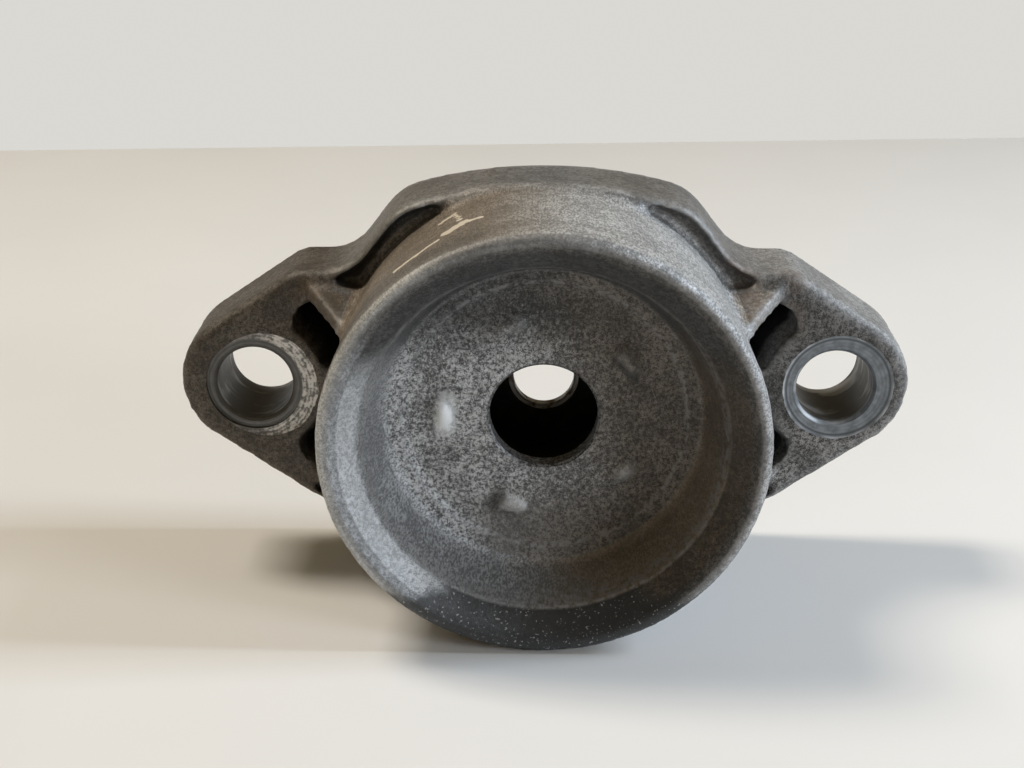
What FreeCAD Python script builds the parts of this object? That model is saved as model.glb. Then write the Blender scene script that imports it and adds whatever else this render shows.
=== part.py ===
import FreeCAD, Part
import math
import os

# Rear shock absorber top mount bracket, in millimetres.
#
# The cup's axis lies along Y. The mating face that is bolted to the body is the plane y = 0,
# and the cup's rim faces -Y. The two bolt holes lie on the X axis, and +Z is the notched side.
# The origin is the middle of the mating face, halfway between the bolt holes.
# Every height below is a distance from the mating face towards the rim, so y = -height.

# Cup
cup_height = 47.7            # mating face to rim
cup_radius = 39.2            # outer wall at the rim
cup_root_radius = 38.4       # and where it meets the flange
rim_bevel = 1.1              # the rim's outer edge
lip_width = 2.4              # wall thickness at the rim
lip_depth = 4.2              # rim to the crease below the lip's bevel
crease_radius = 32.0
bowl_depth = 16.9            # rim to the bowl's floor
bowl_foot_radius = 28.6      # foot of the steep inner wall
ledge_width = 2.6            # low step around the floor
ledge_height = 1.0
bowl_foot_bevel = 1.2
floor_thickness = 3.5
floor_hole_radius = 9.8
hole_edge_bevel = 0.6

# Raised pads on the bowl's floor
pad_count = 5
pad_circle_radius = 18.2
pad_length = 5.6
pad_width = 2.7
pad_height = 1.5
pad_first_angle = 36.0

# Flange
hole_spacing = 109.4
ear_end_radius = 13.5
ear_end_shift = 0.9          # centre of the ear's end, beyond its bolt hole
shoulder_angle = 33.9        # slope of the flange's long edges, degrees from X
crown_rise = 0.3             # crown above the root of the cup's wall
crown_radius = 90.0
crown_rake = 14.0            # slope where the crown's arc ends, degrees
crown_corner_round = 12.0
crown_corner_inset = 1.7     # how far the notches move that corner inwards
notch_gap = 4.4              # cup's wall to the corner of the notch
notch_angle = 31.7           # direction of that corner, degrees from X
notch_round = 10.0
bump_round = 6.0             # where the notch's floor meets the long edge
flange_height = 16.8         # as-cast front of the flange
flange_edge_bevel = 1.2
back_edge_bevel = 0.6
flange_wall = 1.6            # width of the raised wall along the edge
trough_floor_height = 14.0   # bottom of the trough between that wall and the cup

# Gussets between the cup and the ears
gusset_angle = 22.6          # direction of each gusset, degrees from X
gusset_height = 29.2         # tip of the gusset on the cup's wall
gusset_reach = 9.9           # cup's wall to the gusset's outer end
gusset_tip_width = 2.4
gusset_root_width = 3.4
gusset_root_shift = 0.7      # the pocket's side of the rib leans away from the pocket
gusset_foot_width = 5.4      # how far the sloping flank spreads at the flange

# Cored pockets between the cup and the ears
pocket_floor_height = 4.2
pocket_outset = 8.1          # bolt hole's centre to the pocket's outer wall
pocket_boss_radius = 13.4    # metal kept around the bolt hole at the flange's front
pocket_boss_foot = 17.2      # and at the pocket's floor
pocket_bridge = 3.4          # half the width of the web between two pockets
pocket_round = 4.5

# Bolt holes
bolt_hole_radius = 7.2
bolt_hole_chamfer = 0.6
spot_face_radius = 10.8
spot_face_height = 16.4
spot_face_bevel = 0.9
spot_shift_right = 0.6       # the cutter ran slightly off each hole's centre
spot_shift_left = 2.0
washer_print_radius = 9.1    # seat worn into the left ear by its washer
washer_print_depth = 0.5

# Bushing seat at the back
seat_radius = 33.0
ring_seat_radius = 35.2
ring_seat_depth = 6.2

# Steel plate that takes the damper's rod
plate_radius = 24.0
plate_thickness = 2.0
plate_height = 9.7           # its rear face
rod_hole_radius = 5.8
plate_edge_bevel = 0.3

# Rubber bushing
well_radius = 13.0
skin_thickness = 0.8         # rubber over the plate's front
skin_hole_margin = 0.9       # bare steel around the rod's hole
nut_recess_radius = 11.0
rubber_bevel = 0.8

# Steel retaining ring
ring_thickness = 2.0
ring_hole_radius = 22.0
ring_skirt = 3.2

ear_x = hole_spacing / 2
lip_radius = cup_radius - lip_width
gusset_pocket_side = gusset_root_shift - gusset_tip_width / 2
floor_front = cup_height - bowl_depth
floor_back = floor_front - floor_thickness
overrun = 5.0                # how far a cutting tool starts outside the metal
axis_start = FreeCAD.Vector(0, 0, 0)
along_axis = FreeCAD.Vector(0, 1, 0)


def on_plane(height):
    """Return a function that puts a point (x, z) on the plane at this height."""
    return lambda x, z: FreeCAD.Vector(x, -height, z)


def on_section(radius, height):
    """Put a point of a turned section in the plane that holds the cup's axis."""
    return FreeCAD.Vector(radius, -height, 0)


def rounded_wire(corners, place):
    """Closed outline through corners (a, b, radius), each rounded by a tangent arc.

    Where two arcs would meet on the edge between them, both shrink to fit it.
    """
    count = len(corners)
    points = [FreeCAD.Vector(a, b, 0) for a, b, radius in corners]
    half_angles = []
    wanted = []
    for i in range(count):
        to_before = points[i - 1] - points[i]
        to_after = points[(i + 1) % count] - points[i]
        half_angle = to_before.getAngle(to_after) / 2
        half_angles.append(half_angle)
        wanted.append(corners[i][2] / math.tan(half_angle))
    shares = []
    for i in range(count):
        following = (i + 1) % count
        length = (points[following] - points[i]).Length
        shares.append(min(1, 0.98 * length / max(wanted[i] + wanted[following], 1e-9)))
    arcs = []
    for i in range(count):
        reach = wanted[i] * min(shares[i - 1], shares[i])
        to_before = points[i - 1] - points[i]
        to_after = points[(i + 1) % count] - points[i]
        to_before.normalize()
        to_after.normalize()
        inward = to_before + to_after
        depth = reach * (1 / math.cos(half_angles[i]) - math.tan(half_angles[i]))
        if reach > 0:
            inward.normalize()
        middle = points[i] + inward * depth
        arcs.append((points[i] + to_before * reach, middle, points[i] + to_after * reach, reach > 0))
    edges = []
    for i in range(count):
        start, middle, end, is_round = arcs[i]
        if is_round:
            edges.append(Part.Arc(*[place(p.x, p.y) for p in (start, middle, end)]).toShape())
        following = arcs[(i + 1) % count][0]
        if (following - end).Length > 1e-6:
            edges.append(Part.LineSegment(place(end.x, end.y), place(following.x, following.y)).toShape())
    return Part.Wire(edges)


def prism(corners, low, high):
    """Solid with this outline in X and Z, from one height to another."""
    face = Part.Face(rounded_wire(corners, on_plane(low)))
    return face.extrude(FreeCAD.Vector(0, low - high, 0))


def turned(corners):
    """Solid of revolution about the cup's axis, from a section of (radius, height, bevel)."""
    points = []
    for i, (radius, height, bevel) in enumerate(corners):
        here = on_section(radius, height)
        if bevel == 0:
            points.append(here)
            continue
        for neighbour in (corners[i - 1], corners[(i + 1) % len(corners)]):
            towards = on_section(*neighbour[:2]) - here
            towards.normalize()
            points.append(here + towards * bevel)
    section = Part.makePolygon(points + points[:1])
    return Part.Face(section).revolve(axis_start, along_axis, 360)


def rod(radius, low, high, x=0.0, z=0.0):
    """Cylinder along the cup's axis, from one height to another."""
    return Part.makeCylinder(radius, high - low, FreeCAD.Vector(x, -low, z), FreeCAD.Vector(0, -1, 0))


def mirrored_left(shape):
    return shape.mirror(axis_start, FreeCAD.Vector(1, 0, 0))


def mirrored_down(shape):
    return shape.mirror(axis_start, FreeCAD.Vector(0, 0, 1))


def in_every_quarter(shape):
    """The shape and its mirror images in X, in Z and in both."""
    pair = [shape, mirrored_left(shape)]
    return pair + [mirrored_down(s) for s in pair]


def flange_corners():
    """Corners of the flange: a long rhombus whose upper two edges are notched."""
    slope = math.tan(math.radians(shoulder_angle))
    rake = math.radians(crown_rake)
    tip_x = ear_x + ear_end_shift + ear_end_radius / math.sin(math.radians(shoulder_angle))
    crown_z = cup_root_radius + crown_rise
    apex_z = crown_z + crown_radius * (1 / math.cos(rake) - 1)
    corner_x = (tip_x * slope - apex_z) / (slope - math.tan(rake))
    corner_z = apex_z - corner_x * math.tan(rake)
    notch_x = (cup_root_radius + notch_gap) * math.cos(math.radians(notch_angle))
    notch_z = (cup_root_radius + notch_gap) * math.sin(math.radians(notch_angle))
    bump_x = tip_x - notch_z / slope
    upper_corner_x = corner_x - crown_corner_inset
    upper = [
        (upper_corner_x, apex_z - upper_corner_x * math.tan(rake), crown_corner_round),
        (notch_x, notch_z, notch_round),
        (bump_x, notch_z, bump_round),
        (tip_x, 0, ear_end_radius),
    ]
    lower = [(corner_x, -corner_z, crown_corner_round)]
    right = upper + lower
    left = [(-x, z, radius) for x, z, radius in reversed(right)]
    return [(0, apex_z, crown_radius)] + right + [(0, -apex_z, crown_radius)] + left


def edges_at_height(shape, height):
    """Edges of a shape that lie whole in the plane at this height."""
    return [e for e in shape.Edges
            if abs(e.BoundBox.YMin + height) < 1e-4 and abs(e.BoundBox.YMax + height) < 1e-4]


def flange_plate():
    plate = prism(flange_corners(), 0, flange_height)
    front_bevel = min(flange_edge_bevel, 0.8 * flange_wall)
    plate = plate.makeChamfer(front_bevel, edges_at_height(plate, flange_height))
    return plate.makeChamfer(back_edge_bevel, edges_at_height(plate, 0))


def wall_radius(height):
    """Outer radius of the cup's wall, which widens from the flange to the rim."""
    run = (height - flange_height) / (cup_height - flange_height)
    return cup_root_radius + (cup_radius - cup_root_radius) * max(0, run)


def on_gusset(along, across):
    """Point (x, z) at a distance along the upper right gusset and across it."""
    angle = math.radians(gusset_angle)
    return (along * math.cos(angle) - across * math.sin(angle),
            along * math.sin(angle) + across * math.cos(angle))


def ear_sector():
    """Wedge from the axis out over the right ear, bounded by the gussets' outer flanks."""
    x, z = on_gusset(2 * hole_spacing, gusset_root_width / 2)
    start_x, start_z = on_gusset(0, gusset_root_width / 2)
    corners = [(start_x, start_z, 0), (x, z, 0), (x, -z, 0), (start_x, -start_z, 0)]
    return prism(corners, -overrun, cup_height + overrun)


def flange_trough():
    """Hollow along the inside of the flange's edge wall, closed off at the ears."""
    outline = Part.Face(rounded_wire(flange_corners(), on_plane(trough_floor_height)))
    inner = outline.makeOffset2D(-flange_wall)
    depth = flange_height + overrun - trough_floor_height
    hollow = inner.extrude(FreeCAD.Vector(0, -depth, 0))
    sector = ear_sector()
    return hollow.cut(sector).cut(mirrored_left(sector))


def gusset():
    """Upper right gusset: a rib that slopes from the cup's wall to the ear, with a wide flank."""
    inside = cup_root_radius - lip_width
    outside = cup_root_radius + gusset_reach
    tip_end = wall_radius(gusset_height)
    half_tip = gusset_tip_width / 2
    tip = [(inside, -half_tip), (tip_end, -half_tip), (tip_end, half_tip), (inside, half_tip)]
    root = [(inside, gusset_pocket_side), (outside, gusset_pocket_side),
            (outside, gusset_root_width - half_tip), (inside, gusset_foot_width)]
    sections = []
    for points, height in ((tip, gusset_height), (root, flange_height), (root, trough_floor_height)):
        corners = [on_gusset(u, w) + (0,) for u, w in points]
        sections.append(rounded_wire(corners, on_plane(height)))
    slope = Part.makeLoft(sections[:2], True, True)
    foot = Part.makeLoft(sections[1:], True, True)
    return slope.fuse(foot)


def pocket():
    """Cored pocket of the upper right quarter, between the gusset, the cup and the bolt boss."""
    outer_x = ear_x - pocket_outset
    angle = math.radians(gusset_angle)
    inner_x = cup_root_radius * math.cos(angle) - lip_width
    rise = gusset_pocket_side / math.cos(angle)
    corners = [
        (inner_x, pocket_bridge, 0),
        (outer_x, pocket_bridge, 0),
        (outer_x, outer_x * math.tan(angle) + rise, pocket_round),
        (inner_x, inner_x * math.tan(angle) + rise, 0),
    ]
    tool = prism(corners, pocket_floor_height, flange_height + overrun)
    boss = Part.makeCone(
        pocket_boss_foot, pocket_boss_radius, flange_height - pocket_floor_height,
        FreeCAD.Vector(ear_x, -pocket_floor_height, 0), FreeCAD.Vector(0, -1, 0))
    shank = rod(pocket_boss_radius, flange_height, cup_height, ear_x)
    return tool.cut([boss, shank, rod(cup_root_radius, 0, cup_height)])


def cup_wall():
    corners = [
        (0, 0, 0),
        (cup_root_radius, 0, back_edge_bevel),
        (cup_root_radius, flange_height, 0),
        (cup_radius, cup_height, min(rim_bevel, 0.6 * lip_width)),
        (0, cup_height, 0),
    ]
    return turned(corners)


def bowl_hollow():
    """Inside of the cup, from beyond the rim down to the floor."""
    ledge_radius = bowl_foot_radius - ledge_width
    ledge_top = floor_front + ledge_height
    corners = [
        (0, cup_height + overrun, 0),
        (lip_radius, cup_height + overrun, 0),
        (lip_radius, cup_height, 0),
        (crease_radius, cup_height - lip_depth, 0),
        (bowl_foot_radius, ledge_top, bowl_foot_bevel),
        (ledge_radius, ledge_top, 0),
        (ledge_radius - ledge_height, floor_front, 0),
        (0, floor_front, 0),
    ]
    return turned(corners)


def floor_hole():
    corners = [
        (0, floor_front + overrun, 0),
        (floor_hole_radius + hole_edge_bevel + overrun, floor_front + overrun, 0),
        (floor_hole_radius + hole_edge_bevel, floor_front, 0),
        (floor_hole_radius, floor_front - hole_edge_bevel, 0),
        (floor_hole_radius, floor_back - overrun, 0),
        (0, floor_back - overrun, 0),
    ]
    return turned(corners)


def bushing_seat():
    """Hollow behind the floor: a seat for the rubber and a wider one for the ring."""
    corners = [
        (0, floor_back, 0),
        (seat_radius, floor_back, 0),
        (seat_radius, ring_seat_depth, 0),
        (ring_seat_radius, ring_seat_depth, 0),
        (ring_seat_radius, -overrun, 0),
        (0, -overrun, 0),
    ]
    return turned(corners)


def bolt_hole(x, spot_x, print_depth):
    """Bolt hole with its chamfer, its spot face and the washer's print."""
    hole = rod(bolt_hole_radius, -overrun, cup_height, x)
    seat_height = spot_face_height - print_depth
    chamfer = Part.makeCone(
        bolt_hole_radius, bolt_hole_radius + bolt_hole_chamfer, bolt_hole_chamfer,
        FreeCAD.Vector(x, bolt_hole_chamfer - seat_height, 0), FreeCAD.Vector(0, -1, 0))
    spot = Part.makeCone(
        spot_face_radius - spot_face_bevel, spot_face_radius, flange_height - spot_face_height,
        FreeCAD.Vector(spot_x, -spot_face_height, 0), FreeCAD.Vector(0, -1, 0))
    clear = rod(spot_face_radius, flange_height, cup_height, spot_x)
    tools = [hole, chamfer, spot, clear]
    if print_depth > 0:
        tools.append(rod(washer_print_radius, seat_height, flange_height, x))
    return tools


def floor_pad(angle):
    """Low oblong pad, set across the radius that runs to it."""
    half = pad_length / 2
    side = pad_width / 2
    corners = [(pad_circle_radius - side, -half, side), (pad_circle_radius + side, -half, side),
               (pad_circle_radius + side, half, side), (pad_circle_radius - side, half, side)]
    sunk = floor_thickness / 4
    pad = prism(corners, floor_front - sunk, floor_front + pad_height)
    top = edges_at_height(pad, floor_front + pad_height)
    pad = pad.makeChamfer(0.3 * min(pad_width, pad_height), top)
    pad.rotate(axis_start, along_axis, -angle)
    return pad


def bracket_casting():
    """Aluminium casting: cup, flange with two ears, gussets and pockets, machined at its seats."""
    body = flange_plate().cut([flange_trough()] + in_every_quarter(pocket()))
    body = body.fuse([cup_wall()] + in_every_quarter(gusset()))
    tools = [bowl_hollow(), floor_hole(), bushing_seat()]
    tools += bolt_hole(ear_x, ear_x + spot_shift_right, 0)
    tools += bolt_hole(-ear_x, spot_shift_left - ear_x, washer_print_depth)
    body = body.cut(tools)
    step = 360 / pad_count
    body = body.fuse([floor_pad(pad_first_angle + step * i) for i in range(pad_count)])
    return body.removeSplitter()


def rod_plate():
    """Steel disc bonded into the rubber, with the hole for the damper's rod."""
    front = plate_height + plate_thickness
    corners = [
        (rod_hole_radius, plate_height, 0),
        (plate_radius, plate_height, 0),
        (plate_radius, front, 0),
        (rod_hole_radius, front, plate_edge_bevel),
    ]
    return turned(corners)


def rubber_bushing():
    """Rubber ring that fills the seat around the plate, with a well towards the bowl."""
    plate_front = plate_height + plate_thickness
    skin_front = plate_front + skin_thickness
    skin_radius = rod_hole_radius + skin_hole_margin
    corners = [
        (nut_recess_radius, ring_seat_depth, rubber_bevel),
        (seat_radius, ring_seat_depth, 0),
        (seat_radius, floor_back, 0),
        (well_radius, floor_back, 0),
        (well_radius, skin_front, 0),
        (skin_radius, skin_front, 0),
        (skin_radius, plate_front, 0),
        (plate_radius, plate_front, 0),
        (plate_radius, plate_height, 0),
        (nut_recess_radius, plate_height, 0),
    ]
    return turned(corners)


def retaining_ring():
    """Pressed steel ring with a turned-up skirt, pushed into its seat behind the rubber."""
    face = ring_seat_depth
    back = face - ring_thickness
    corners = [
        (ring_hole_radius, face, 0),
        (ring_seat_radius, face, 0),
        (ring_seat_radius, back - ring_skirt, 0),
        (ring_seat_radius - ring_thickness, back - ring_skirt, 0),
        (ring_seat_radius - ring_thickness, back, 0),
        (ring_hole_radius, back, 0),
    ]
    return turned(corners)


nodes = {
    "bracket_casting": bracket_casting,
    "rubber_bushing": rubber_bushing,
    "rod_plate": rod_plate,
    "retaining_ring": retaining_ring,
}

os.makedirs("parts", exist_ok=True)
for name, build in nodes.items():
    shape = build()
    if shape.ShapeType == "Compound" and len(shape.Solids) == 1:
        shape = shape.Solids[0]
    shape.exportStep("parts/" + name + ".step")
    box = shape.BoundBox
    print(name, "solids", len(shape.Solids), "valid", shape.isValid(), "volume %.1f" % shape.Volume,
          "x %.2f %.2f y %.2f %.2f z %.2f %.2f" % (box.XMin, box.XMax, box.YMin, box.YMax, box.ZMin, box.ZMax))
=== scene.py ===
# %% [markdown]
# # A rear shock absorber's top mount, dressed for its portrait
# The mount is one aluminium die casting with a rubber bushing, a steel plate and a pressed ring
# behind it. The imported CAD model gives every size. This lesson lays a cast skin over the casting,
# cuts its machined seats sharp again, and paints the dirt, the oxide, the bare metal, and some light and
# shade.

# %% Load the frame
import math

import bmesh
import bpy
import numpy as np
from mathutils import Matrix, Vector, noise
from mathutils.bvhtree import BVHTree


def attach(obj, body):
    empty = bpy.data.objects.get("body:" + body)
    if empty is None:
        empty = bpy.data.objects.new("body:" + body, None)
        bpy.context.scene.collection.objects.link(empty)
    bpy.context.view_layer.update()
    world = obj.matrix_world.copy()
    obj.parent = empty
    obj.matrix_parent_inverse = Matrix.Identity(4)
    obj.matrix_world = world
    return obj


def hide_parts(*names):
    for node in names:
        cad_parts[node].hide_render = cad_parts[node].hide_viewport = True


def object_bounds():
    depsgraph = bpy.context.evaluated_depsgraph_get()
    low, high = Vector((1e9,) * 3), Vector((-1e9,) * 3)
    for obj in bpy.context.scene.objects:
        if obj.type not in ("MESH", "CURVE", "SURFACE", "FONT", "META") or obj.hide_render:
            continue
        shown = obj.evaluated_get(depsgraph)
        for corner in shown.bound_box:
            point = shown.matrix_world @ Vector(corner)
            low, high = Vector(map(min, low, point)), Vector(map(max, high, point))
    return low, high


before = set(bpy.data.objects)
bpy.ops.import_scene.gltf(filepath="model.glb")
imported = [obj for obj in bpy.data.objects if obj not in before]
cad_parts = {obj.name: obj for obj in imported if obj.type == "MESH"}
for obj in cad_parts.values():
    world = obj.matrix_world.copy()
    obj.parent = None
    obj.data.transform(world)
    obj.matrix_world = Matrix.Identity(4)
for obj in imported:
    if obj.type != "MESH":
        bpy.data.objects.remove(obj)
cad_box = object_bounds()
mm = 0.001
print("CAD box in mm:", [[round(v / mm, 2) for v in corner] for corner in cad_box])

# %% [markdown]
# ## The camera and the table
# The photographer stood close and looked down at about 22 degrees, so the near rim looks large
# and the far ears small. A long lens further away would give the same outline but not that
# depth, so the camera keeps the real distance. The table is a plain pale sheet, and it ends
# behind the part, where the picture shows its edge.

# %% Camera
camera_data = bpy.data.cameras.new("camera")
camera_data.sensor_width = 36.0
camera_data.lens = 52.74
camera = bpy.data.objects.new("camera", camera_data)
camera.location = (-0.72 * mm, -277.7 * mm, 108.3 * mm)
camera.rotation_euler = [math.radians(angle) for angle in (67.56, 0.12, 1.10)]
bpy.context.collection.objects.link(camera)
bpy.context.scene.camera = camera
bpy.context.scene.view_settings.view_transform = "Standard"
print("camera at", [round(v / mm, 1) for v in camera.location], "mm")

# %% Table
floor_z = cad_box[0][2]
table_half_width = 1.6            # metres, like the next two
table_front = -1.2
table_back = 344 * mm
table_turn = math.radians(3.7)


def linked(name, mesh):
    """A new object that shows this mesh."""
    made = bpy.data.objects.new(name, mesh)
    bpy.context.collection.objects.link(made)
    return made


def table_sheet():
    """One large flat face whose far edge leans a little, as in the picture."""
    corners = [(-table_half_width, table_front), (table_half_width, table_front),
               (table_half_width, table_back), (-table_half_width, table_back)]
    turned_corners = []
    for x, y in corners:
        lean = x * math.tan(table_turn) if y == table_back else 0
        turned_corners.append((x, y + lean, floor_z))
    sheet = bpy.data.meshes.new("table")
    sheet.from_pydata(turned_corners, [], [(0, 1, 2, 3)])
    return linked("table", sheet)


table = table_sheet()
print("table at z =", round(floor_z / mm, 2), "mm")

# %% [markdown]
# ## Shader maths as plain expressions
# The finishes below are sums of masks: more dirt here, bare metal there. A small class wraps a
# socket of a material, so that an expression such as `1 - mask * 0.5` adds the Math nodes
# itself. Every other node comes from one method, which takes the node's type, its settings and
# what goes into its sockets.

# %% One small class for sockets


class Wire:
    """A socket of one node tree. Arithmetic on it adds Math nodes beside it."""

    def __init__(self, tree, socket=None):
        self.tree = tree
        self.socket = socket

    def node(self, kind, settings, sockets, output=0):
        made = self.tree.nodes.new("ShaderNode" + kind)
        for name, value in settings.items():
            setattr(made, name, value)
        for name, value in sockets.items():
            if isinstance(value, Wire):
                self.tree.links.new(value.socket, made.inputs[name])
            else:
                made.inputs[name].default_value = value
        return Wire(self.tree, made.outputs[output])

    def maths(self, operation, first, second=0.0, clamp=False):
        return self.node("Math", {"operation": operation, "use_clamp": clamp}, {0: first, 1: second})

    def __add__(self, other):
        return self.maths("ADD", self, other)

    __radd__ = __add__

    def __sub__(self, other):
        return self.maths("SUBTRACT", self, other)

    def __rsub__(self, other):
        return self.maths("SUBTRACT", other, self)

    def __mul__(self, other):
        return self.maths("MULTIPLY", self, other)

    __rmul__ = __mul__

    def __pow__(self, other):
        return self.maths("POWER", self, other)

    def size(self):
        return self.maths("ABSOLUTE", self)

    def sine(self):
        return self.maths("SINE", self)

    def or_else(self, other):
        """The larger of two masks."""
        return self.maths("MAXIMUM", self, other)

    def rises(self, low, high):
        """0 below low, 1 above high, smooth between."""
        return self.node("MapRange", {"interpolation_type": "SMOOTHSTEP"},
                         {"Value": self, "From Min": low, "From Max": high})

    def falls(self, low, high):
        return 1 - self.rises(low, high)

    def ridge(self, centre, half_width):
        """1 on one value, fading to 0 on both sides of it."""
        return (self - centre).size().falls(0, half_width)


# %% [markdown]
# ## Soft studio light
# The real part lies between two windows: a warm one high on the left and a cool one low on the
# right. Each throws the part's shadow along the table, where the other window colours it, and
# the left ear keeps the warm one off a dark patch below it. Neither sees into the cup. What
# whitens the left inside of the cup and leaves the right inside brown is a third, paler opening
# ahead on the right. Three area lights do the same. The room around them is a plain dome,
# brighter behind the part, where the picture shows a wall.

# %% Lights


def window(name, place, width, tall, watts, colour):
    """A tall window at this place, turned to the part."""
    lamp = bpy.data.lights.new(name, "AREA")
    lamp.shape = "RECTANGLE"
    lamp.size = width
    lamp.size_y = tall
    lamp.energy = watts
    lamp.color = colour
    holder = bpy.data.objects.new(name, lamp)
    holder.location = place
    holder.rotation_euler = (-Vector(place)).to_track_quat("-Z", "Y").to_euler()
    bpy.context.collection.objects.link(holder)
    return holder


windows = [
    window("warm_window", (-0.40, 0.10, 0.77), 0.16, 0.30, 4.7, (1.0, 0.91, 0.78)),
    window("cool_window", (0.76, -0.03, 0.50), 0.14, 0.40, 6.2, (0.74, 0.85, 0.97)),
    window("doorway", (0.66, -0.42, 0.22), 0.22, 0.30, 2.9, (0.82, 0.90, 1.0)),
]
print("windows:", [light.name for light in windows])

# %% The room
room_colour = (0.15, 0.115, 0.06, 1)
far_wall = (0.70, 0.69, 0.655, 1)
room = bpy.data.worlds.new("room")
bpy.context.scene.world = room
room.use_nodes = True
start = Wire(room.node_tree)
towards = start.node("TexCoord", {}, {})
split = start.node("SeparateXYZ", {}, {"Vector": towards}).socket.node.outputs
ahead = Wire(start.tree, split["Y"])
upward = Wire(start.tree, split["Z"])
wall_seen = ahead.rises(0.45, 0.80) * upward.falls(0.0, 0.30)
dome = start.node("Mix", {"data_type": "RGBA"},
                  {0: wall_seen, 6: room_colour, 7: far_wall}, output=2)
start.tree.links.new(dome.socket, start.tree.nodes["Background"].inputs["Color"])
print("room nodes:", len(start.tree.nodes))

# %% [markdown]
# ## Solids of revolution in mesh code
# Every machined feature here was made by a tool that turned: drills, a spot facer, a boring bar.
# So one helper spins a section about an axis along the cup. Sections are (radius, height) in
# millimetres, where the height runs from the mating face towards the rim, as on a drawing.

# %% The lathe
spin_steps = 128


def spun(sections):
    """Closed shells, each a section spun about its own axis: (x, z, section)."""
    shells = bmesh.new()
    for x, z, section in sections:
        rings = []
        for radius, height in section:
            if radius == 0:
                rings.append([shells.verts.new((x * mm, -height * mm, z * mm))])
                continue
            ring = []
            for i in range(spin_steps):
                angle = 2 * math.pi * i / spin_steps
                at = (x + radius * math.cos(angle), -height, z + radius * math.sin(angle))
                ring.append(shells.verts.new([v * mm for v in at]))
            rings.append(ring)
        for here, there in zip(rings, rings[1:] + rings[:1]):
            for i in range(spin_steps):
                j = (i + 1) % spin_steps
                quad = [here[i % len(here)], here[j % len(here)],
                        there[j % len(there)], there[i % len(there)]]
                corners = list(dict.fromkeys(quad))
                if len(corners) > 2:
                    shells.faces.new(corners)
    bmesh.ops.recalc_face_normals(shells, faces=shells.faces)
    return shells


# %% [markdown]
# ## The cast skin
# A die casting has no sharp edge and no true flat: the metal shrinks, the die wears, and years
# of salt pit it. The real seats are then cut into that skin. The mesh is made in the same
# order. First the holes are plugged and the whole is remeshed into even little quads, which is
# the only kind of mesh that takes smoothing and noise well. Subdividing the CAD mesh would
# keep its long thin triangles and crease along them.

# %% The blank: CAD casting with its machined features filled
ear_x = 54.7                      # bolt hole's centre; plain numbers here are mm
flange_height = 16.8
spot_height = 16.4                # level of the machined seats
spot_radius = 10.8
spot_x_right = ear_x + 0.6        # the spot facer drifted off each hole
spot_x_left = 2.0 - ear_x
floor_front = 30.8
floor_back = 27.3
floor_hole_radius = 9.8
ring_seat_radius = 35.2
skin_voxel = 0.72 * mm


def plug(x, radius, low, high):
    """A cylinder's section on the axis through x, from one height to another."""
    return (x, 0, [(0, low), (radius, low), (radius, high), (0, high)])


def welded_copy(node_name):
    """The node's mesh in a bmesh of its own, with the corners that the export split joined."""
    copy = bmesh.new()
    copy.from_mesh(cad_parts[node_name].data)
    bmesh.ops.remove_doubles(copy, verts=copy.verts, dist=0.001 * mm)
    return copy


def casting_blank():
    blank = welded_copy("bracket_casting")
    plugs = spun([
        plug(ear_x, spot_radius + 0.4, 0.3, flange_height - 0.1),
        plug(-ear_x, spot_radius + 0.4, 0.3, flange_height - 0.1),
        plug(0, floor_hole_radius + 0.9, floor_back - 0.5, floor_front - 0.05),
        plug(0, ring_seat_radius + 0.5, 0.5, floor_back + 0.3),
    ])
    plug_mesh = bpy.data.meshes.new("plugs")
    plugs.to_mesh(plug_mesh)
    blank.from_mesh(plug_mesh)
    mesh = bpy.data.meshes.new("casting_skin")
    blank.to_mesh(mesh)
    return linked("casting_skin", mesh)


def apply_modifiers(piece):
    """Replace the piece's mesh by what its modifiers make of it."""
    shown = piece.evaluated_get(bpy.context.evaluated_depsgraph_get())
    piece.data = bpy.data.meshes.new_from_object(shown)
    piece.modifiers.clear()


skin = casting_blank()
even = skin.modifiers.new("even", "REMESH")
even.mode = "VOXEL"
even.voxel_size = skin_voxel
apply_modifiers(skin)
print("casting skin after the remesh:", len(skin.data.polygons), "quads")

# %% [markdown]
# ## Worn edges
# The remesh leaves small steps where a slope crosses its grid. Moving each point towards the
# mean of its neighbours irons them out and rounds the edges at the same time, as tumbling does.
# Thin ribs would melt if it went on for long, so a mask spares them, and the flange's long
# edges and the five pads on the cup's floor get more.

# %% Smoothing in numpy


def points_of(mesh):
    flat = np.empty(len(mesh.vertices) * 3)
    mesh.vertices.foreach_get("co", flat)
    return flat.reshape(-1, 3)


def normals_of(mesh):
    flat = np.empty(len(mesh.vertices) * 3)
    mesh.vertices.foreach_get("normal", flat)
    return flat.reshape(-1, 3)


def edges_of(mesh):
    flat = np.empty(len(mesh.edges) * 2, dtype=np.int64)
    mesh.edges.foreach_get("vertices", flat)
    return flat.reshape(-1, 2)


def move_points(mesh, places):
    mesh.vertices.foreach_set("co", places.ravel())
    mesh.update()


def ramp_up(value, low, high):
    """0 below low, 1 above high and a smooth rise between; it also works downhill."""
    t = np.clip((value - low) / (high - low), 0, 1)
    return t * t * (3 - 2 * t)


def neighbour_mean(values, edges):
    """Mean of each point's neighbours, one column at a time."""
    first, second = edges.T
    count = len(values)
    degree = np.bincount(first, minlength=count) + np.bincount(second, minlength=count)
    total = np.empty_like(values)
    for column in range(values.shape[1]):
        total[:, column] = (np.bincount(first, values[second, column], count)
                            + np.bincount(second, values[first, column], count))
    return total / degree[:, None]


def ironed(points, edges, share, rounds):
    """Points moved towards their neighbours' mean, each by its own share."""
    for _ in range(rounds):
        points = points + share[:, None] * (neighbour_mean(points, edges) - points)
    return points


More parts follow.
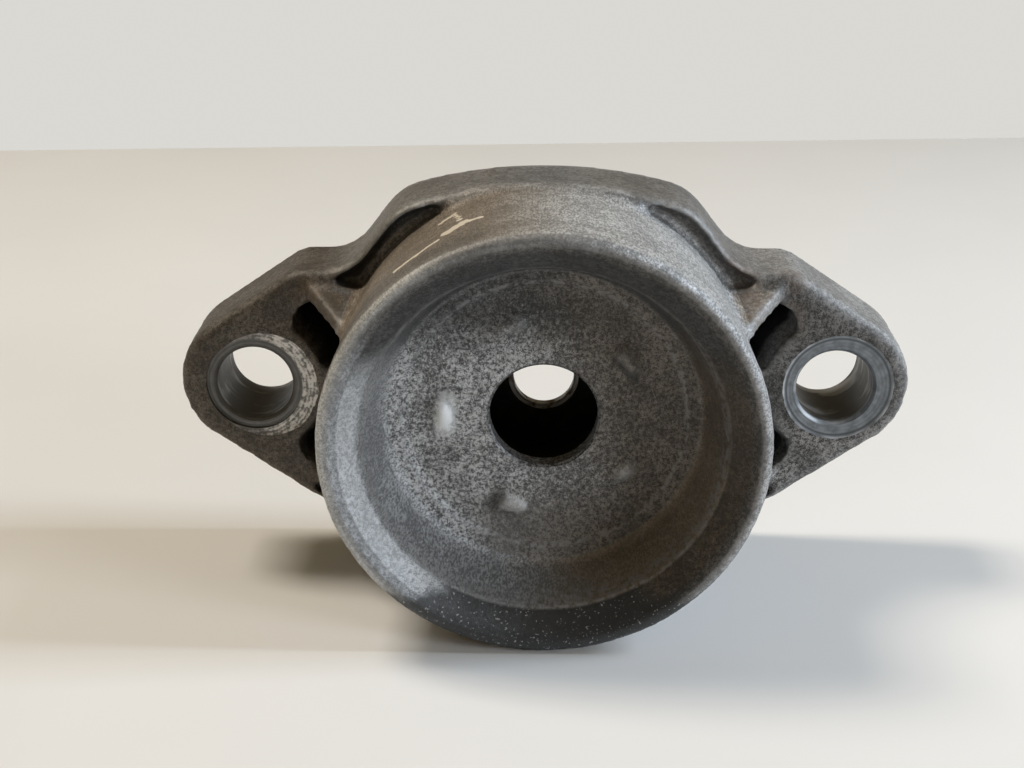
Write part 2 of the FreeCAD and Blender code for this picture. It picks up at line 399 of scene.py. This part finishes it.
gusset_slope = math.tan(math.radians(22.6))
half_way = 0.5                    # share of the way to the neighbours' mean in one round
first_rounds = 2                  # over the whole skin, for the remesh's steps
edge_rounds = 9                   # on the edges that are worn round
points = points_of(skin.data)
edges = edges_of(skin.data)
x, height, z = points.T / mm * np.array([[1], [-1], [1]])
radius = np.hypot(x, z)
points = ironed(points, edges, np.full(len(points), half_way), first_rounds)
off_gusset = ramp_up(np.abs(z) - np.abs(x) * gusset_slope, 4.5, 6.0)
beyond_gusset = ramp_up(np.abs(x), 47.0, 49.0)
flange_edge = ramp_up(height, 11.5, 13.5) * ramp_up(radius, 39.4, 40.2)
flange_edge = flange_edge * np.maximum(off_gusset, beyond_gusset)
trough = ramp_up(height, 7.5, 9.0) * ramp_up(radius, 38.0, 38.8) * off_gusset * ramp_up(height, 22, 20)
on_pads = ramp_up(height, 31.0, 31.5) * ramp_up(radius, 24.5, 23.5) * ramp_up(radius, 13, 14)
worn_round = np.clip(flange_edge + trough + 0.3 * on_pads, 0, 1)
points = ironed(points, edges, half_way * worn_round, edge_rounds)
move_points(skin.data, points)
print("edges rounded on", int((flange_edge > 0.5).sum()), "flange points")

# %% [markdown]
# ## Where dirt stays, where shade is painted and where metal shines
# Dirt gathers and shade falls where little sky reaches, and hands and boxes rub the corners that
# stick out. So two numbers are kept at each point. `hollow` is the share of short rays that hit the
# casting again, and `worn` is how far the point stands out from its neighbours. A finish reads
# both: `hollow` for dirt and painted shade, `worn` for rubbed edges.
# They could be drawn by hand, but measured ones sit exactly where the form puts them.

# %% Two measures at each point
ray_reach = 9.0                   # mm
ray_start = 0.12                  # mm above the skin
ray_tilts = ((0.35, 5), (0.75, 7), (1.15, 9))   # tilt from the normal, rays at that tilt
full_wear = 0.05                  # mm that a bare edge stands out


def hollow_share(mesh):
    """Share of short rays from each point that meet the mesh again."""
    work = bmesh.new()
    work.from_mesh(mesh)
    tree = BVHTree.FromBMesh(work)
    shares = np.zeros(len(mesh.vertices))
    rays = [(math.sin(tilt) * math.cos(2 * math.pi * (k + 0.3) / count),
             math.sin(tilt) * math.sin(2 * math.pi * (k + 0.3) / count), math.cos(tilt))
            for tilt, count in ray_tilts for k in range(count)]
    for i, vertex in enumerate(work.verts):
        out = vertex.normal
        across = out.orthogonal().normalized()
        along = out.cross(across)
        begin = vertex.co + out * ray_start * mm
        hits = 0
        for a, b, c in rays:
            if tree.ray_cast(begin, across * a + along * b + out * c, ray_reach * mm)[0] is not None:
                hits += 1
        shares[i] = hits / len(rays)
    return shares


def kept(mesh, name, values):
    """Keep one number per point under this name, where a material can read it."""
    layer = mesh.attributes.new(name, "FLOAT", "POINT")
    layer.data.foreach_set("value", values.astype(np.float32))


hollow = hollow_share(skin.data)
inward = neighbour_mean(points, edges) - points
stands_out = -(inward * normals_of(skin.data)).sum(axis=1) / mm
for _ in range(3):
    stands_out = 0.5 * (stands_out + neighbour_mean(stands_out[:, None], edges)[:, 0])
worn = np.clip(stands_out / full_wear, 0, 1)
kept(skin.data, "hollow", hollow)
kept(skin.data, "worn", worn)
print("hollow over half:", int((hollow > 0.5).sum()), "points;",
      "worn over half:", int((worn > 0.5).sum()))

# %% [markdown]
# ## Rough metal
# Salt has eaten the skin in shallow dishes a few millimetres across, with finer pits between.
# Real pits only go inwards, so the noise is only ever taken off, and the part keeps its size.
# The ears' lower ends and the pads are eaten deeper. The back is left alone: it was machined and
# covered.

# %% Pitting
dish_depth = 0.09                 # mm, like the three below
dish_size = 6.0
pit_depth = 0.12
pit_size = 1.5


def noise_at(places, size, octaves):
    """Fractal noise from 0 to 1 at places in millimetres."""
    values = [noise.fractal(Vector(p), 0.9, 2.1, octaves) for p in places / size]
    return np.clip(0.5 + 0.5 * np.array(values), 0, 1)


free = ramp_up(height, 0.9, 1.6)                 # 0 on the machined back
off_seats = ramp_up(np.hypot(np.abs(x) - ear_x, z), spot_radius + 0.5, spot_radius + 2)
ear_ends = off_seats * ramp_up(np.abs(x), 50, 60) * ramp_up(z, 12, 0)
eaten = 1 + 2.0 * ear_ends + 2.5 * on_pads
dishes = dish_depth * noise_at(points / mm, dish_size, 2)
pits = pit_depth * noise_at(points / mm, pit_size, 2)
depth = (dishes + pits) * eaten
points = points - normals_of(skin.data) * (free * depth * mm)[:, None]
move_points(skin.data, points)
print("deepest pit: %.2f mm" % float((free * depth).max()))

# %% [markdown]
# ## Where on the part
# The paint follows the part, not the picture, so each mask is worked out from a point's place
# in millimetres: across, height from the mating face, up, and the distance from the cup's axis.

# %% Helpers for finishes


class Spot:
    """Places on the part, as wires of one material, in millimetres."""

    def __init__(self, start):
        metres = start.node("TexCoord", {}, {}, output=3)
        self.place = start.node("VectorMath", {"operation": "SCALE"}, {0: metres, "Scale": 1 / mm})
        split = start.node("SeparateXYZ", {}, {"Vector": self.place})
        nodes = split.socket.node
        self.x = Wire(start.tree, nodes.outputs["X"])
        self.height = 0 - Wire(start.tree, nodes.outputs["Y"])
        self.z = Wire(start.tree, nodes.outputs["Z"])
        self.radius = (self.x * self.x + self.z * self.z) ** 0.5

    def from_axis(self, x, z=0.0):
        """Distance from a line along the cup through (x, z)."""
        return ((self.x - x) ** 2 + (self.z - z) ** 2) ** 0.5

    def vector(self, operation, first, second, output=0):
        return self.place.node("VectorMath", {"operation": operation},
                               {0: first, 1: second}, output=output)

    def from_stroke(self, start, end):
        """Distance from a straight stroke between two points, each (x, height, z)."""
        begin = Vector((start[0], -start[1], start[2]))
        run = Vector((end[0], -end[1], end[2])) - begin
        offset = self.vector("SUBTRACT", self.place, tuple(begin))
        share = self.vector("DOT_PRODUCT", offset, tuple(run), output=1) * (1 / run.length_squared)
        share = share.maths("ADD", share, 0.0, clamp=True)
        nearest = self.place.node("VectorMath", {"operation": "SCALE"},
                                  {0: tuple(run), "Scale": share})
        return self.vector("DISTANCE", offset, nearest, output=1)

    def grain(self, size, detail=2.0, roughness=0.55, squeeze=(1, 1, 1)):
        """Noise from 0 to 1 whose lumps are about size millimetres across.

        A squeeze below 1 along an axis draws the lumps out along it.
        """
        where = self.vector("MULTIPLY", self.place, squeeze)
        return self.place.node("TexNoise", {}, {
            "Vector": where, "Scale": 1 / size, "Detail": detail, "Roughness": roughness})

    def measure(self, name):
        """A number kept at the mesh's points."""
        return self.place.node("Attribute", {"attribute_name": name}, {}, output=2)


def mixed(mask, under, over):
    """Colour over shows where the mask is 1, and under where it is 0."""
    return mask.node("Mix", {"data_type": "RGBA"}, {0: mask, 6: under, 7: over}, output=2)


def grey(light, warm=0.0):
    """A grey of this brightness, pulled towards brown, or towards blue when warm is negative."""
    return (light * (1 + warm), light, light * (1 - warm), 1)


def finish(name):
    """A new material: itself, its first wire and its Principled shader."""
    material = bpy.data.materials.new(name)
    material.use_nodes = True
    return material, Wire(material.node_tree), material.node_tree.nodes["Principled BSDF"]


def dress(shader, start, sockets):
    """Link or set the shader's sockets."""
    for name, value in sockets.items():
        if isinstance(value, Wire):
            start.tree.links.new(value.socket, shader.inputs[name])
        else:
            shader.inputs[name].default_value = value


def bumped(relief, strength, height_mm):
    """Normals for a relief from 0 to 1 that stands height_mm high."""
    return relief.node("Bump", {}, {"Height": relief, "Strength": strength, "Distance": height_mm * mm})


# %% [markdown]
# ## Cast aluminium after years under a car
# Bare aluminium is bright, but this skin is covered by grey oxide, road dirt and white salt
# bloom. Up close it is a salt-and-pepper speckle, and what changes from place to place is how
# dark the pepper is and how pale the salt. So each zone of the casting names those two tones,
# and one grain mixes them everywhere. Some zones paint light and shade into those tones: a
# painted sheen and painted highlights on the left of the lip, rim and outer wall, painted shade
# at the top of the bowl and, in part, on its right, and painted warm light and shade on the
# outer wall's left side. Dirt and painted shade in the hollows, rubbed edges and scratches go on top.

# %% Grain of the casting
cast, start, shader = finish("cast_aluminium")
at = Spot(start)
fine = at.grain(0.26, 4.0, 0.72)
medium = at.grain(0.70, 4.0, 0.66)
speckle = fine * 0.5 + medium * 0.5
grit = at.grain(0.46, 2.0, 0.5)
run_down = at.grain(0.34, 4.0, 0.66, squeeze=(1, 0.35, 1))
fleck = at.grain(1.3, 3.0, 0.6)
cloud = at.grain(7.0, 3.0, 0.55)
drift = at.grain(22.0, 2.0, 0.5)
wander = (cloud - 0.5) * 16 + (drift - 0.5) * 14      # mm that a zone's border strays
ragged_x = at.x + (cloud - 0.5) * 8
print("grain:", len(cast.node_tree.nodes), "nodes")

# %% Masks of the casting's parts
bevel_foot = 43.2                 # height where the bevel inside the rim starts
# the right of the cup; inside, the bowl and lip are painted darker and browner there, partly as painted
# shade
to_right = (at.x + wander).rises(-8, 16)
# the top of the cup; inside, the bowl, its wall and lip are painted darker there as painted shade
to_top = (at.z + wander * 0.6).rises(9, 21)
left_of = at.x.falls(-4, 4)
off_middle = at.x.size()
in_bowl = at.radius.falls(36.7, 37.2) * at.height.rises(29.0, 30.0)
bowl_wall = in_bowl * at.radius.rises(27.6, 28.6)
lip = in_bowl * at.height.rises(bevel_foot, bevel_foot + 0.6)
# painted sheen: the left of the lip is painted pale and bluish
left_lip_sheen = lip * ragged_x.falls(-25, -15) * at.z.falls(12, 24)
# the left side, where the rim, its crest and the outer wall get painted highlights
left_highlight_side = ragged_x.falls(-24, -14)
rim = at.height.rises(46.2, 46.8)
rim_crest = rim * at.radius.rises(37.2, 38.0)
outer_wall = at.radius.rises(37.8, 38.2) * at.radius.falls(39.8, 40.2) * at.height.rises(12.0, 17.5)
flange = at.radius.rises(38.4, 39.4) * at.height.falls(17.2, 17.8)
ear = off_middle.rises(38, 43) * at.radius.rises(40, 41.5)
gusset = off_middle.rises(36, 38) * at.radius.rises(39.8, 40.4) * at.height.rises(17.8, 19.0)
print("masks:", len(cast.node_tree.nodes), "nodes so far")

# %% Zones: where, how dark the pepper, how pale the salt


def layered(under, layers):
    """Colours laid over one another, each where its mask is 1: (mask, colour)."""
    for mask, over in layers:
        under = mixed(mask, under, over)
    return under


flange_zones = [
    (flange, grey(0.085, 0.06), grey(0.21, 0.05)),
    (flange * at.x.rises(34, 44) * at.height.falls(15.4, 16.2), grey(0.14, 0.02), grey(0.38, 0.01)),
    (ear * at.height.rises(15.4, 16.2), grey(0.018, 0.10), grey(0.155, 0.05)),
    (ear * at.z.falls(-12, -4), grey(0.028, 0.08), grey(0.30, 0.04)),
    (ear * left_of, grey(0.036, 0.20), grey(0.135, 0.16)),
]
outside_zones = [
    (outer_wall, grey(0.20), grey(0.56)),
    (outer_wall * at.z.falls(4, 18), grey(0.085, 0.04), grey(0.25, 0.04)),
    # painted warm light and shade: the left of the outer wall is browner and darker
    (outer_wall * (at.x + wander * 0.4).falls(-12, 8), grey(0.12, 0.18), grey(0.25, 0.18)),
    (outer_wall * at.x.falls(-14, -6) * at.height.rises(33, 42), grey(0.075, 0.14), grey(0.17, 0.14)),
    (gusset, grey(0.10, 0.08), grey(0.34, 0.04)),
    (gusset * left_of, grey(0.055, 0.22), grey(0.10, 0.20)),
]
bowl_zones = [
    (in_bowl, grey(0.070, -0.02), grey(0.56, -0.02)),
    (in_bowl * at.z.falls(-20, -12) * at.x.rises(-18, -6), grey(0.10, 0.04), grey(0.26, 0.03)),
    # painted shade at the top of the bowl
    (in_bowl * to_top, grey(0.022), grey(0.108)),
    # the right of the bowl: a browner tone and painted shade
    (in_bowl * to_right, grey(0.042, 0.12), grey(0.19, 0.12)),
    (bowl_wall, grey(0.16, -0.02), grey(0.46, -0.02)),
    # the wall on the right: a browner tone and painted shade, with less of it low down
    (bowl_wall * to_right, grey(0.085, 0.20), grey(0.17, 0.18)),
    (bowl_wall * to_right * at.z.falls(-10, 0), grey(0.14, 0.20), grey(0.25, 0.18)),
    # painted shade at the top of the wall
    (bowl_wall * to_top, grey(0.045), grey(0.11)),
]
rim_zones = [
    # painted sheen on the left of the lip
    (left_lip_sheen, grey(0.30, -0.04), grey(0.55, -0.04)),
    # painted shade on the right of the lip
    (lip * to_right, grey(0.034, 0.24), grey(0.085, 0.22)),
    # painted shade at the top of the lip
    (lip * to_top, grey(0.028), grey(0.070)),
    (rim, grey(0.030, 0.06), grey(0.11, 0.06)),
    # painted highlight on the left of the rim
    (rim * left_highlight_side * at.z.falls(14, 24), grey(0.16, -0.03), grey(0.37, -0.03)),
    (rim_crest, grey(0.060), grey(0.40)),
    (rim_crest * at.x.falls(0, 12) * at.z.rises(8, 16), grey(0.045, 0.05), grey(0.15, 0.05)),
    # painted highlights on the left of the crest and on the outer wall below it
    (rim_crest * left_highlight_side, grey(0.34, -0.03), grey(0.80, -0.03)),
    (outer_wall * left_highlight_side * at.z.falls(6, 12), grey(0.30, -0.03), grey(0.70, -0.03)),
]
zones = flange_zones + outside_zones + bowl_zones + rim_zones
pepper = layered(grey(0.08), [(mask, dark) for mask, dark, pale in zones])
salt = layered(grey(0.20), [(mask, pale) for mask, dark, pale in zones])
print("zones laid:", len(zones))

# %% [markdown]
# ## Speckle and bloom
# The grain that mixes pepper and salt is round on the flat faces and drawn out along the walls,
# where water ran. Salt bloom turns its tips white on two places only: the cup's floor on the
# left, and the outer wall on the right. Two ledges in the bowl have been rubbed to thin rings.

# %% Speckle and bloom
along_walls = outer_wall.or_else(bowl_wall * (1 - lip)) * 0.8
pattern = speckle * (1 - along_walls) + run_down * along_walls
pattern = pattern + (cloud - 0.5) * 0.09 + (fleck - 0.5) * 0.10
patches = (fleck * 0.4 + cloud * 0.6).rises(0.42, 0.56)
left_bloom = in_bowl * (1 - bowl_wall * 0.8) * (1 - to_right) * (1 - to_top * 0.8) * at.z.rises(-22, -14)
right_bloom = outer_wall * (at.x + wander * 0.5).rises(2, 18) * at.z.rises(4, 18)
bloom = left_bloom.or_else(right_bloom)
ledge_ring = at.radius.ridge(25.7, 0.7).or_else(at.radius.ridge(31.6, 0.9)) * in_bowl
body = layered(mixed(pattern.rises(0.43, 0.57), pepper, salt), [
    ((1 - patches) * 0.40, pepper),
    (pattern.rises(0.54, 0.62) * fleck.rises(0.44, 0.60) * bloom * 0.7, grey(0.62, -0.03)),
    (grit.falls(0.32, 0.37) * 0.75, pepper),
    (grit.rises(0.64, 0.69) * (0.10 + 0.60 * bloom), grey(0.60)),
    (ledge_ring * fleck.rises(0.42, 0.56) * 0.55, grey(0.30)),
])
print("speckle and bloom:", len(cast.node_tree.nodes), "nodes so far")

# %% [markdown]
# ## The pads on the cup's floor
# The lowest pad and a spot on the lower right one carry a painted highlight, and every pad top a
# faint one. The left pad carries a large, ragged painted highlight. Beside two pads lie painted
# shadows, nearly black.

# %% Pads
pad_level = 31.0
pad_top = at.radius.falls(22.5, 23.5) * at.height.rises(pad_level - 0.05, pad_level + 0.2)
low_pad = at.from_axis(-5.7, -17.6).falls(3.5, 6.5)
lower_right_pad = at.from_axis(15, -10.9).falls(0.4, 2.4)
# painted highlight on the lowest pad, a spot on the lower right one, and faintly on every pad top
pad_tops_highlight = (low_pad * 0.45).or_else(lower_right_pad * 0.25).or_else(0.08)
# painted highlight: a large ragged pale patch on and around the left pad
from_left_pad_highlight = at.from_stroke((-17.9, pad_level, -2.4), (-17.5, pad_level, 2.6))
left_pad_highlight = (from_left_pad_highlight + (fleck - 0.5) * 3.0 + (fine - 0.5) * 3.0).falls(1.3, 2.3)
# painted shadows, nearly black, beside the lowest pad and the upper right pad
shadow_by_low_pad = at.from_stroke((-9.6, pad_level, -17.4), (-7.9, pad_level, -15.8)).falls(0.6, 2.4)
shadow_by_upper_right_pad = at.from_stroke((12.6, pad_level, 11.4), (16.2, pad_level, 7.4)).falls(0.2, 1.3)
body = layered(body, [
    (pad_top * pad_tops_highlight * (0.6 + 0.6 * fine), grey(0.85, -0.02)),
    (left_pad_highlight * (0.45 + 0.5 * pad_top) * in_bowl, grey(0.88, -0.03)),
    (shadow_by_low_pad.or_else(shadow_by_upper_right_pad) * (0.3 + 0.7 * fleck), grey(0.018)),
])
print("pads:", len(cast.node_tree.nodes), "nodes so far")

# %% [markdown]
# ## Rubbed edges, dirt, rust and painted shade
# Both measures kept at the points are used here: `worn` bares the edges and `hollow` paints the
# pockets nearly black, as dirt and as painted shade. The bottom of the lip, which lies on the
# table, is caked with gritty dirt. A dark line is painted under the crown, and a thin painted
# highlight runs along the crease low in the bowl. A brown stain sits on the gussets' upper ends.

# %% Rubbed edges, dirt, rust and painted shade
rubbed = at.measure("worn") * (0.05 + 0.6 * fleck) * (1 - in_bowl * 0.8)
rubbed = rubbed * (1 - ear * 0.45) * (1 - ear.or_else(gusset) * left_of * 0.75)
# painted highlight: a thin pale line along the crease low in the bowl
crease = in_bowl * at.height.ridge(bevel_foot, 0.6) * at.z.falls(-18, -8)
lip_dirt = lip.or_else(rim) * (at.z + wander * 0.35).falls(-29, -26)
gritty_dirt = mixed(grit.rises(0.64, 0.70), grey(0.034, -0.05), grey(0.34))
under_crown = at.radius.ridge(39.6, 1.6) * at.height.rises(15.2, 16.2)
under_crown = under_crown * at.height.falls(17.8, 19.6) * at.z.rises(22, 30)
above_pockets = at.height.rises(11.0, 12.5)
# dirt and painted shade: the hollows are painted nearly black, less above the right pockets
soot_and_shade = at.measure("hollow").rises(0.40, 0.70) * (1 - in_bowl)
soot_and_shade = soot_and_shade * (1 - above_pockets * at.x.rises(-6, 4) * 0.9)
rust_brown = at.z.rises(5, 20) * at.radius.rises(38.6, 39.6) * cloud.rises(0.40, 0.62)
rust_brown = rust_brown * off_middle.rises(26, 32) * off_middle.falls(46, 50)
rust_brown = rust_brown * at.height.rises(13, 16) * at.height.falls(30, 34)
body = layered(body, [
    (rubbed, grey(0.42)),
    (crease * fleck.rises(0.38, 0.56) * 0.6, grey(0.36, -0.02)),
    (lip_dirt * 0.92, gritty_dirt),
    (under_crown * fleck.rises(0.36, 0.50) * 0.75, grey(0.030)),
    (soot_and_shade * 0.92, grey(0.010, -0.1)),
    (rust_brown * 0.6, (0.105, 0.066, 0.040, 1)),
])
print("dirt laid:", len(cast.node_tree.nodes), "nodes so far")

# %% [markdown]
# ## Scratches
# Something scraped the top of the cup on the left and left cream paint: one long stroke and a
# ragged blot above it. A stroke is the distance from a straight line, roughened by the grain.

# %% Cream strokes
strokes = [                       # (from, to, half width), where a place is (x, height, z) in mm
    ((-25.2, 37.4, 29.6), (-21.8, 37.2, 32.2), 0.62),
    ((-21.8, 37.2, 32.2), (-18.3, 35.4, 34.3), 0.42),
    ((-18.4, 23.5, 34.2), (-16.2, 21.3, 35.4), 0.60),
    ((-16.2, 21.3, 35.4), (-14.9, 27.5, 36.0), 0.45),
    ((-16.6, 33.0, 35.2), (-14.2, 30.7, 36.2), 1.25),
    ((-14.2, 30.7, 36.2), (-11.1, 31.0, 37.3), 0.60),
]
raggedness = (fleck - 0.5) * 1.6
cream_mask = None
for begin, end, half_width in strokes:
    away = at.from_stroke(begin, end) + raggedness
    stroke = away.falls(half_width, half_width + 0.25)
    cream_mask = stroke if cream_mask is None else cream_mask.or_else(stroke)
body = mixed(cream_mask * 0.95, body, (0.80, 0.73, 0.62, 1))
print("cream strokes:", len(strokes))

# %% The cast finish
smooth_wall = bowl_wall * (1 - to_right)
dress(shader, start, {
    "Base Color": body,
    "Roughness": 0.60 - 0.14 * fleck - 0.12 * smooth_wall + 0.25 * soot_and_shade,
    "Metallic": 0.30,
    "Normal": bumped(speckle * (0.5 + 0.4 * in_bowl) + fleck * 0.5, 0.75, 0.26),
})
print("cast skin:", len(cast.node_tree.nodes), "nodes")

# %% [markdown]
# ## Machined seats
# The spot facer and the drill left rings in the metal, fine steps that catch the light in arcs.
# They are a wave on the distance from each hole's axis, too shallow for real geometry. The left
# ear's washer has also pressed a darker, sunken print into its seat. Painted highlights run along
# the right seat's outer edge and round its hole's chamfer.

# %% Machined metal
print_radius = 9.1                # washer's print in the left seat
print_depth = 0.5
hole_radius = 7.2
hole_chamfer = 0.6
ring_phase = 9                    # radians per mm, so one ring every 0.7 mm
cut_metal, start, shader = finish("machined_aluminium")
at = Spot(start)
speckle = at.grain(0.5, 3.0, 0.6)
fleck = at.grain(1.8, 3.0, 0.6)
cloud = at.grain(6.0, 2.0, 0.5)
blotch = at.grain(1.0, 3.0, 0.65)
on_right = at.x.rises(-1, 1)
from_right_seat = at.from_axis(spot_x_right)
from_left_hole = at.from_axis(-ear_x)
ring = from_right_seat * on_right + from_left_hole * (1 - on_right)
lines = (ring * ring_phase + cloud * 5).sine() * 0.5 + 0.5
left_seat = mixed((lines * 0.10 + blotch * 0.90).rises(0.38, 0.60), grey(0.17, 0.03), grey(0.66, 0.02))
left_seat = mixed(at.x.falls(-56, -50) * 0.7, left_seat, grey(0.10, 0.04))
print_left = from_left_hole.falls(9.0, 9.3) * (1 - on_right)
in_bore = at.height.falls(15.1, 15.4)
bore_streaks = at.grain(3.2, 3.0, 0.5, squeeze=(0.35, 1, 0.35)).rises(0.50, 0.64)
dark_arc = from_right_seat.ridge(9.75, 0.35) * on_right
# painted highlights on the right seat's outer edge and its hole's chamfer
seat_edge_highlight = from_right_seat.ridge(10.3, 0.34) * on_right
chamfer_highlight = at.from_axis(ear_x).ridge(7.5, 0.4) * on_right * (1 - in_bore) * at.x.falls(54, 60)
bright = seat_edge_highlight.or_else(chamfer_highlight) * cloud.rises(0.42, 0.60)
tone = layered(mixed(fleck.rises(0.3, 0.7), grey(0.16, -0.08), grey(0.27, -0.08)), [
    (lines * 0.18, grey(0.06)),
    (1 - on_right, left_seat),
    (print_left, mixed(lines * 0.3 + fleck * 0.7, grey(0.055), grey(0.23))),
    (in_bore, mixed(bore_streaks, grey(0.075, 0.02), grey(0.30, -0.02))),
    (at.radius.falls(12, 14), mixed(speckle.rises(0.42, 0.58), grey(0.06), grey(0.26))),
    (dark_arc * (0.4 + 0.6 * fleck), grey(0.045)),
    (bright * (0.3 + 0.6 * fleck), grey(0.62, -0.03)),
])
dress(shader, start, {
    "Base Color": tone, "Roughness": 0.40 + 0.2 * fleck, "Metallic": 0.55,
    "Normal": bumped(lines * 0.5 + speckle * 0.5, 0.5, 0.08)})
print("machined metal:", len(cut_metal.node_tree.nodes), "nodes")

# %% [markdown]
# ## Cutting the seats
# The holes come back last, as on the milling machine. A boolean with spun cutters gives true
# circles and crisp chamfers in the soft skin, and the cut faces take the cutter's material. The
# exact solver is slower than the fast one, but it never leaves an open seam.

# %% Cutters
seat_radius = 33.0                # bore that holds the bushing
ring_seat_depth = 6.2
beyond = 6.0                      # how far a cutter sticks out of the metal
clear_of_ear = 30                 # height where a drill's section ends
clear_of_floor = 40
crease_angle = 38                 # degrees; a sharper turn stays an edge


def spot_facer(x):
    """Flat end with a small corner angle, wide enough to clear the boss."""
    top = spot_radius + 0.25
    return (x, 0, [(0, spot_height), (spot_radius - 0.9, spot_height), (spot_radius, flange_height),
                   (top, flange_height + beyond), (0, flange_height + beyond)])


def drill(seat):
    """The drilled hole's section, up to its chamfer at the seat."""
    return [(0, -beyond), (hole_radius, -beyond), (hole_radius, seat - hole_chamfer),
            (hole_radius + hole_chamfer, seat)]


drilled_right = (ear_x, 0, drill(spot_height) + [
    (hole_radius + hole_chamfer, clear_of_ear), (0, clear_of_ear)])
washer_seat = spot_height - print_depth
drilled_left = (-ear_x, 0, drill(washer_seat) + [
    (print_radius, washer_seat), (print_radius, clear_of_ear), (0, clear_of_ear)])
bored_back = (0, 0, [(0, clear_of_floor), (floor_hole_radius + 1.2, clear_of_floor),
                     (floor_hole_radius + 0.5, floor_front - 0.1),
                     (floor_hole_radius, floor_front - 0.6), (floor_hole_radius, floor_back),
                     (seat_radius, floor_back), (seat_radius, ring_seat_depth),
                     (ring_seat_radius, ring_seat_depth), (ring_seat_radius, -beyond), (0, -beyond)])


def cut(piece, sections, metal):
    """Take the spun sections away from the piece; the new faces get the metal."""
    shells = spun(sections)
    mesh = bpy.data.meshes.new("cutter")
    shells.to_mesh(mesh)
    mesh.materials.append(metal)
    cutter = linked("cutter", mesh)
    step = piece.modifiers.new("cut", "BOOLEAN")
    step.operation = "DIFFERENCE"
    step.solver = "EXACT"
    step.material_mode = "TRANSFER"
    step.object = cutter
    apply_modifiers(piece)
    bpy.data.objects.remove(cutter)
    print("cut", len(sections), "features; faces now", len(piece.data.polygons))


skin.data.materials.clear()
skin.data.materials.append(cast)
cut(skin, [spot_facer(spot_x_right), spot_facer(spot_x_left), bored_back], cut_metal)
cut(skin, [drilled_right, drilled_left], cut_metal)


def shade_by_angle(mesh, limit_degrees):
    """Smooth shading that breaks where two faces meet at more than the limit."""
    work = bmesh.new()
    work.from_mesh(mesh)
    for face in work.faces:
        face.smooth = True
    for edge in work.edges:
        edge.smooth = edge.calc_face_angle(0.0) < math.radians(limit_degrees)
    work.to_mesh(mesh)


shade_by_angle(skin.data, crease_angle)
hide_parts("bracket_casting")
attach(skin, "root")
print("triangles in the skin:", sum(len(face.vertices) - 2 for face in skin.data.polygons))

# %% [markdown]
# ## Rubber, plate and ring
# Only their edges show from the front, through the hole in the floor, but the back of the part
# shows all three. The rubber is matt black with a dusty bloom, the plate is bare steel with
# rust at its hole, and the ring's zinc has gone dull and spotted.

# %% Finishes of the pieces behind
rubber, start, shader = finish("bushing_rubber")
at = Spot(start)
dust = at.grain(3.0, 4.0, 0.6).rises(0.45, 0.75)
dress(shader, start, {
    "Base Color": mixed(dust * 0.5, grey(0.006), grey(0.028, 0.06)),
    "Roughness": 0.85 - 0.1 * dust, "Specular IOR Level": 0.25,
    "Normal": bumped(at.grain(0.5, 3.0), 0.4, 0.1)})

plate_steel, start, shader = finish("plate_steel")
at = Spot(start)
rust = at.grain(2.2, 4.0, 0.65).rises(0.48, 0.62)
dress(shader, start, {
    "Base Color": mixed(rust * 0.7, grey(0.28, 0.04), (0.13, 0.075, 0.045, 1)),
    "Roughness": 0.45 + 0.3 * rust, "Metallic": 0.8,
    "Normal": bumped(at.grain(0.7, 3.0), 0.4, 0.1)})

ring_steel, start, shader = finish("ring_steel")
at = Spot(start)
spots = at.grain(1.8, 4.0, 0.6).rises(0.50, 0.64)
streak = at.grain(7.0, 3.0, 0.6)
zinc = mixed(streak, grey(0.22), grey(0.335, 0.02))
dress(shader, start, {
    "Base Color": mixed(spots * 0.6, zinc, (0.15, 0.105, 0.07, 1)),
    "Roughness": 0.5 + 0.25 * spots, "Metallic": 0.75,
    "Normal": bumped(at.grain(0.9, 3.0), 0.4, 0.1)})

finish_of = {"rubber_bushing": rubber, "rod_plate": plate_steel, "retaining_ring": ring_steel}
for node_name, material in finish_of.items():
    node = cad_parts[node_name]
    for slot_of_node in node.material_slots:
        slot_of_node.link = "OBJECT"
        slot_of_node.material = material
    print(node_name, "slots:", len(node.material_slots))

# %% Table finish
table_paint, start, shader = finish("pale_table")
at = Spot(start)
dress(shader, start, {
    "Base Color": mixed(at.grain(60, 3.0), grey(0.76, 0.01), grey(0.81, 0.01)),
    "Roughness": 0.45, "Specular IOR Level": 0.3})
table.data.materials.append(table_paint)
